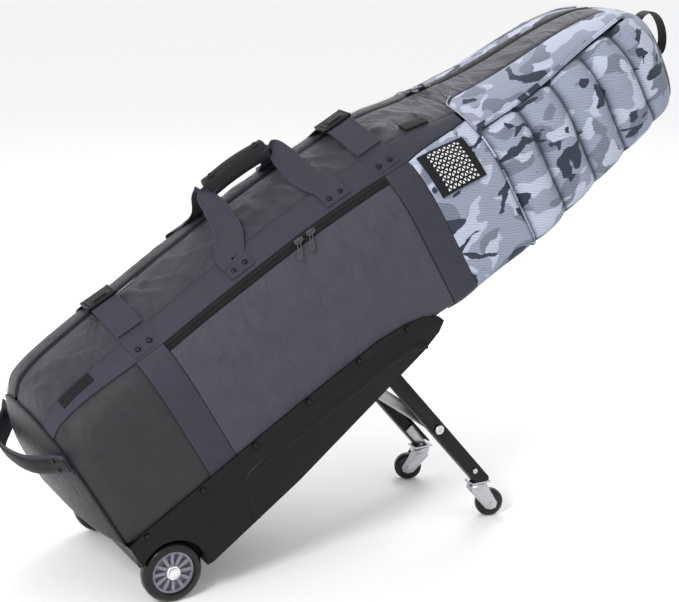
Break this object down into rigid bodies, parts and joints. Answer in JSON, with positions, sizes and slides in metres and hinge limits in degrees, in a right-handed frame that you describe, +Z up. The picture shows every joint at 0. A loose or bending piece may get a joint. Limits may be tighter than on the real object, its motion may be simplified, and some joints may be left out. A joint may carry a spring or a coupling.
{
  "type": "wheeled golf travel case",
  "caption": "Padded golf travel bag riveted to a moulded base, leaning on two rear wheels and a folding pair of legs with swivel casters.",
  "frame": {"origin": "ground plane below the middle of the overall bounding box, standing on its wheels and casters", "axes": "+Z up, +X level towards the raised head end, +Y to the left of the case; the case leans 28.5 degrees"},
  "size_m": [1.2668, 0.3444, 0.8613],
  "materials": {
    "nylon": "coated woven nylon, satin",
    "cover_nylon": "coated woven nylon, satin",
    "vinyl": "coated tarpaulin fabric, low sheen",
    "webbing": "woven polyester webbing",
    "camo": "printed ripstop polyester over foam",
    "zipper": "woven zipper tape with a coil",
    "zip_metal": "dark nickel",
    "shell": "fine moulded texture",
    "black_metal": "powder coated",
    "aluminium": "mill finish",
    "zinc": "bright zinc plate",
    "steel": "zinc plated",
    "tyre": "smooth tread",
    "rim": "silver painted",
    "grip_rubber": "moulded, matte",
    "buckle": "moulded acetal"
  },
  "bodies": {
    "case": {"lower_side_panel_right": "vinyl", "rear_trim_right": "webbing", "side_panel_right": "nylon", "front_trim_right": "webbing", "head_side_panel_right": "camo", "head_pad_right": "camo", "shoulder_band_right": "webbing", "side_zipper_right": "zipper", "handle_loop_right": "webbing", "retaining_strip_right": "black_metal", "lower_side_panel_left": "vinyl", "rear_trim_left": "webbing", "side_panel_left": "nylon", "front_trim_left": "webbing", "head_side_panel_left": "camo", "head_pad_left": "camo", "shoulder_band_left": "webbing", "side_zipper_left": "zipper", "handle_loop_left": "webbing", "retaining_strip_left": "black_metal", "top_cover_right": "cover_nylon", "top_cover_left": "cover_nylon", "floor_panel": "nylon", "end_panel": "vinyl", "head_end_cap": "camo", "main_zipper": "zipper", "rear_compression_strap": "webbing", "front_compression_strap": "webbing", "rear_compression_buckle": "buckle", "front_compression_buckle": "buckle", "handle_grip": "grip_rubber", "haul_loop": "webbing", "head_loop": "webbing", "base_shell": "shell", "rear_axle": "steel"},
    "side_slider_rear_right": {"side_slider_rear_right": "zip_metal"},
    "side_slider_front_right": {"side_slider_front_right": "zip_metal"},
    "side_slider_rear_left": {"side_slider_rear_left": "zip_metal"},
    "side_slider_front_left": {"side_slider_front_left": "zip_metal"},
    "main_slider_rear": {"main_slider_rear": "zip_metal"},
    "main_slider_front": {"main_slider_front": "zip_metal"},
    "rear_wheel_right": {"rear_tyre_right": "tyre", "rear_rim_right": "rim"},
    "rear_wheel_left": {"rear_tyre_left": "tyre", "rear_rim_left": "rim"},
    "legs": {"leg_right": "black_metal", "leg_bolt_right": "steel", "caster_plate_right": "zinc", "leg_left": "black_metal", "leg_bolt_left": "steel", "caster_plate_left": "zinc", "leg_cross_tube": "black_metal"},
    "braces": {"brace_right": "aluminium", "brace_left": "aluminium", "brace_rod": "steel"},
    "caster_right": {"caster_fork_right": "zinc"},
    "caster_wheel_right_body": {"caster_wheel_right": "tyre"},
    "caster_left": {"caster_fork_left": "zinc"},
    "caster_wheel_left_body": {"caster_wheel_left": "tyre"}
  },
  "joints": [
    {"name": "side_slider_rear_right_run", "type": "slide", "parent": "case", "child": "side_slider_rear_right", "axis": [-0.8537, 0, -0.5208], "range_m": [0, 0.243]},
    {"name": "side_slider_front_right_run", "type": "slide", "parent": "case", "child": "side_slider_front_right", "axis": [0.8884, 0, 0.459], "range_m": [0, 0.137]},
    {"name": "side_slider_rear_left_run", "type": "slide", "parent": "case", "child": "side_slider_rear_left", "axis": [-0.8537, 0, -0.5208], "range_m": [0, 0.243]},
    {"name": "side_slider_front_left_run", "type": "slide", "parent": "case", "child": "side_slider_front_left", "axis": [0.8884, 0, 0.459], "range_m": [0, 0.137]},
    {"name": "main_slider_rear_run", "type": "slide", "parent": "case", "child": "main_slider_rear", "axis": [-0.9628, 0.0033, -0.2703], "range_m": [0, 0.048]},
    {"name": "main_slider_front_run", "type": "slide", "parent": "case", "child": "main_slider_front", "axis": [0.9524, -0.004, 0.3048], "range_m": [0, 0.047]},
    {"name": "rear_wheel_spin_right", "type": "hinge", "parent": "case", "child": "rear_wheel_right", "pos_m": [-0.4093, -0.1545, 0.05], "axis": [0, 1, 0], "continuous": true},
    {"name": "rear_wheel_spin_left", "type": "hinge", "parent": "case", "child": "rear_wheel_left", "pos_m": [-0.4093, 0.1545, 0.05], "axis": [0, 1, 0], "continuous": true},
    {"name": "leg_fold", "type": "hinge", "parent": "case", "child": "legs", "pos_m": [-0.0192, 0, 0.333], "axis": [0, 1, 0], "range_deg": [0, 84]},
    {"name": "brace_fold", "type": "hinge", "parent": "legs", "child": "braces", "pos_m": [0.1064, 0, 0.1817], "axis": [0, 1, 0], "range_deg": [-135, 0]},
    {"name": "caster_swivel_right", "type": "hinge", "parent": "legs", "child": "caster_right", "pos_m": [0.1948, -0.099, 0.06], "axis": [0, 0, 1], "continuous": true},
    {"name": "caster_spin_right", "type": "hinge", "parent": "caster_right", "child": "caster_wheel_right_body", "pos_m": [0.2162, -0.1038, 0.025], "axis": [0.2182, 0.9759, 0], "continuous": true},
    {"name": "caster_swivel_left", "type": "hinge", "parent": "legs", "child": "caster_left", "pos_m": [0.1948, 0.099, 0.06], "axis": [0, 0, 1], "continuous": true},
    {"name": "caster_spin_left", "type": "hinge", "parent": "caster_left", "child": "caster_wheel_left_body", "pos_m": [0.1753, 0.1092, 0.025], "axis": [-0.4632, -0.8863, 0], "continuous": true}
  ],
  "couplings": [
    {"joint": "brace_fold", "follows": "leg_fold", "ratio": -1.6044}
  ]
}
